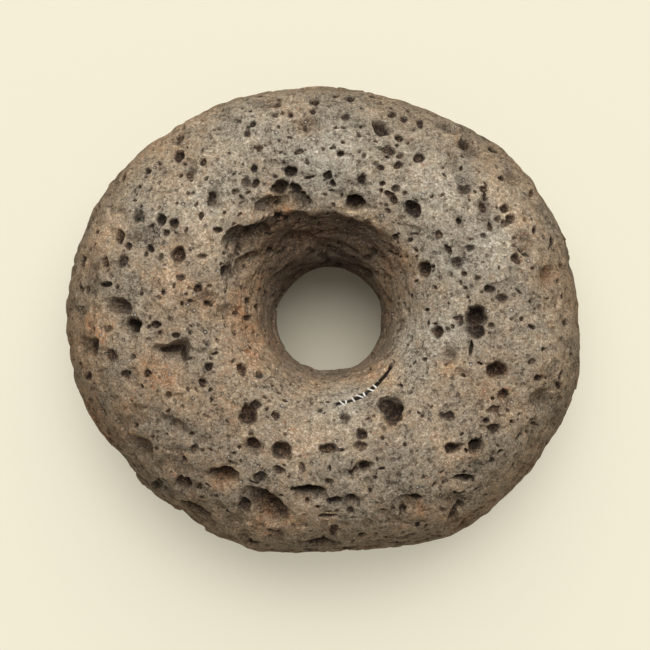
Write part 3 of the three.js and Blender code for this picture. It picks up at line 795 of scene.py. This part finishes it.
def basalt():
    """Grey to brown grain with rust, dirt and painted shade in the hollows, a darker neck, painted shade on
    the lower flank, painted light and shade in the tone, glints and the lacquer.
    """
    s = Shader("vesicular basalt")
    point = s.node("TexCoord", {}).outputs["Object"]
    place = s.node("VectorMath", {0: point, "Scale": 1 / MM}, operation="SCALE").outputs[0]
    dirt_and_shade = s.node("Attribute", {}, attribute_name="dirt_and_shade").outputs["Fac"]
    rust = s.node("Attribute", {}, attribute_name="rust").outputs["Fac"]
    tone_and_painted_light = s.node("Attribute", {}, attribute_name="tone_and_painted_light").outputs["Fac"]

    fine, _, _ = s.cells(place, FINE_GRAIN)
    coarse, coarse_hue, _ = s.cells(place, COARSE_GRAIN)
    mottle = s.noise(place, MOTTLING, 7.0, 0.66)
    patches = s.noise(place, PATCHES, 4.0, 0.55)
    grain = s.total(0.48, (fine, 0.54), (coarse, 0.2), (mottle, 0.7), (patches, 0.7))
    colour = s.ramp(grain, GRAINS)
    hue = s.total(0.57, (coarse_hue, 0.08), (mottle, 0.9), (patches, 1.0), (rust, 0.75, 0.0))
    colour = s.mix(1.0, colour, s.ramp(hue, HUES), "MULTIPLY")
    # Paler and darker stretches: the stone's own tone together with painted light and shade
    colour = s.mix(1.0, colour, s.ramp(s.total(0.5, (tone_and_painted_light, 0.5, 0.0)), TONE_AND_LIGHT_SHADES), "MULTIPLY")

    specks = s.noise(place, SPECKS, 3.0, 0.6)
    speckled = s.total(0.0, (specks, 1.0, 0.0), (patches, 0.25), (rust, 0.1, 0.0))
    colour = s.mix(s.times(s.between(speckled, 0.61, 0.68), 0.4), colour, RUSTY_SPECK)

    chance, _, away = s.cells(place, PINHOLES)
    ragged = s.total(0.0, (away, 1.0, 0.0), (mottle, 0.9))
    pinhole = s.times(s.between(ragged, 0.4, 0.2), s.between(chance, 0.68, 0.74))
    # Painted shade in pinholes too fine to be carved
    colour = s.mix(s.times(pinhole, 0.5), colour, PINHOLE_SHADE)
    # Dirt and painted shade darken the pits and hollows towards the soil colours
    dirt_and_shade_share = s.between(s.total(0.0, (dirt_and_shade, 1.0, 0.0), (mottle, 0.6)), 0.06, 0.85)
    colour = s.mix(s.times(dirt_and_shade_share, 0.94), colour, s.ramp(grain, SOIL_AND_SHADE_COLOURS))
    clean_and_lit = s.math("SUBTRACT", 0.6, s.times(dirt_and_shade_share, 0.5))
    glinting = s.times(s.between(away, 0.22, 0.12), s.between(chance, 0.92, 0.93), clean_and_lit)
    colour = s.mix(glinting, colour, GLINT)

    from_neck = s.length(s.offset(place, (*(NECK - MIDDLE[:2]) / MM, 0)))
    # Darker towards the neck, down the flare into the hole
    towards_neck = s.between(s.total(0.0, (from_neck, 1.0, 0.0), (mottle, 4.0)), *NECK_DARK_FROM)
    colour = s.mix(s.times(towards_neck, 0.6), colour, NECK_DARK)
    height = s.node("SeparateXYZ", {0: place}).outputs[2]
    # Painted shade: darker lower down the outer flank, which turns away from the lamp
    low = s.between(s.total(0.0, (height, 1.0, 0.0), (mottle, 8.0)), *FLANK_SHADE_BELOW)
    low = s.times(low, s.between(from_neck, *FLANK_SHADE_FROM), 0.8)
    colour = s.mix(low, colour, FLANK_SHADE, "MULTIPLY")

    strip, ink = lacquer(s, place, height, mottle)
    colour = s.mix(strip, colour, LACQUER)
    colour = s.mix(ink, colour, INK)
    s.set(s.surface.inputs["Base Color"], colour)
    s.set(s.surface.inputs["Roughness"], s.total(0.88, (strip, -0.6, 0.0)))
    s.surface.inputs["Specular IOR Level"].default_value = 0.3

    relief = s.total(0.0, (grain, 0.45, 0.0), (pinhole, -1.0, 0.0), (mottle, 0.6))
    bump = s.node("Bump", {"Height": relief, "Distance": GRAIN_RELIEF * MM, "Strength": 1.0})
    s.set(s.surface.inputs["Normal"], bump.outputs["Normal"])
    return s.material


def lacquer(s, place, height, mottle):
    """Where the strip of lacquer and the pale strokes on it are. The strokes are marks, not letters."""
    middle = from_pixel(*LACQUER_MIDDLE_PIXEL, LACQUER_HEIGHT) / MM
    level = s.offset(place, (middle[0], middle[1], 0))
    parts = s.node("SeparateXYZ", {0: level}).outputs
    angle = s.math("ARCTAN2", parts[1], parts[0])
    side = s.math("SUBTRACT", s.length(level), LACQUER_RADIUS)
    on_top = s.between(height, 22.0, 24.0)
    off_line = s.total(0.0, (s.math("ABSOLUTE", side), 1.0, 0.0), (mottle, 0.9))
    start, end = (math.radians(bearing) for bearing in LACQUER_BEARINGS)
    in_arc = s.times(s.between(angle, start - 0.03, start + 0.03), s.between(angle, end + 0.05, end - 0.05))
    in_strip = s.between(off_line, LACQUER_HALF_WIDTH + 0.12, LACQUER_HALF_WIDTH - 0.06)
    strip = s.times(in_arc, in_strip, on_top)

    along = s.times(angle, LACQUER_RADIUS / INK_PITCH)
    number = s.math("FLOOR", along)
    luck = s.node("TexWhiteNoise", {"W": number}, noise_dimensions="1D").outputs["Value"]
    along_row = s.total(0.0, (number, 1.0, -0.5), (luck, 0.45))
    from_stroke = s.times(s.math("SUBTRACT", along, along_row), INK_PITCH)
    leaning = s.times(side, s.total(0.35, (luck, 1.3)))
    stroke = s.between(s.math("ABSOLUTE", s.math("SUBTRACT", from_stroke, leaning)), 0.2, 0.11)
    start, end = (math.radians(bearing) for bearing in INK_BEARINGS)
    in_row = s.times(s.between(angle, start, start + 0.02), s.between(angle, end + 0.02, end))
    reach = s.total(0.46, (luck, 0.3))
    in_reach = s.between(s.math("SUBTRACT", s.math("ABSOLUTE", side), reach), 0.06, 0.0)
    return strip, s.times(stroke, in_row, in_reach, on_top)


FLOOR_COLOUR = tint(245, 239, 217)
FLOOR_HALF = 3.0
# Shares of the floor's brightness that are its own: everywhere, outside the stone and farther out, and where
# the second and the third start and are full, by the distance from the middle
FLOOR_GLOWS = (0.03, 0.4, 0.27)
OUTSIDE_STONE = (0.024, 0.036)
FARTHER_OUT = (0.04, 0.056)


def pale_floor():
    """Matt and pale, and glowing more away from the stone, so that the shadow on it stays light."""
    s = Shader("pale floor")
    place = s.node("TexCoord", {}).outputs["Object"]
    away = s.length(place)
    outside, farther = s.between(away, *OUTSIDE_STONE), s.between(away, *FARTHER_OUT)
    glow = s.total(FLOOR_GLOWS[0], (outside, FLOOR_GLOWS[1], 0.0), (farther, FLOOR_GLOWS[2], 0.0))
    s.set(s.surface.inputs["Base Color"], s.mix(glow, FLOOR_COLOUR, (0, 0, 0, 1)))
    s.surface.inputs["Emission Color"].default_value = FLOOR_COLOUR
    s.set(s.surface.inputs["Emission Strength"], glow)
    s.surface.inputs["Roughness"].default_value = 0.95
    s.surface.inputs["Specular IOR Level"].default_value = 0.1
    return s.material


def make_floor():
    mesh = bpy.data.meshes.new("floor")
    corners = [(x * FLOOR_HALF, y * FLOOR_HALF, 0) for x, y in ((-1, -1), (1, -1), (1, 1), (-1, 1))]
    mesh.from_pydata(corners, [], [(0, 1, 2, 3)])
    floor = bpy.data.objects.new("floor", mesh)
    bpy.context.collection.objects.link(floor)
    floor.data.materials.append(pale_floor())


# One broad lamp on the far side, and the light from all round. Its power is in watts.
LAMP_PLACE = (0.07, 0.73, 1.42)
LAMP_WIDTH = 1.9
LAMP_POWER = 29.0
LAMP_COLOUR = (1, 0.985, 0.955)
WORLD_COLOUR = (1, 0.99, 0.96, 1)
WORLD_STRENGTH = 0.21


def make_lights():
    lamp = bpy.data.lights.new("key", "AREA")
    lamp.shape = "DISK"
    lamp.size = LAMP_WIDTH
    lamp.energy = LAMP_POWER
    lamp.color = LAMP_COLOUR
    made = bpy.data.objects.new("key", lamp)
    made.location = LAMP_PLACE
    to_stone = Vector((0, 0, THICKNESS / 2)) - Vector(LAMP_PLACE)
    made.rotation_euler = to_stone.to_track_quat("-Z", "Y").to_euler()
    bpy.context.collection.objects.link(made)
    world = bpy.data.worlds.new("studio")
    world.use_nodes = True
    background = world.node_tree.nodes["Background"].inputs
    background["Color"].default_value = WORLD_COLOUR
    background["Strength"].default_value = WORLD_STRENGTH
    bpy.context.scene.world = world


def make_camera():
    lens = bpy.data.cameras.new("camera")
    lens.sensor_width = SENSOR_WIDTH
    lens.lens = SENSOR_WIDTH * CAMERA_DISTANCE / (FRAME_PIXELS * PIXEL)
    lens.clip_start, lens.clip_end = 0.01, 20
    camera = bpy.data.objects.new("camera", lens)
    camera.location = CAMERA_PLACE
    camera.rotation_euler = (math.pi / 2 - ELEVATION, 0, 0)
    bpy.context.collection.objects.link(camera)
    bpy.context.scene.camera = camera


make_camera()
make_floor()
make_lights()
whorl = make_whorl()
whorl.data.materials.clear()
whorl.data.materials.append(basalt())
bpy.context.scene.view_settings.view_transform = "Standard"
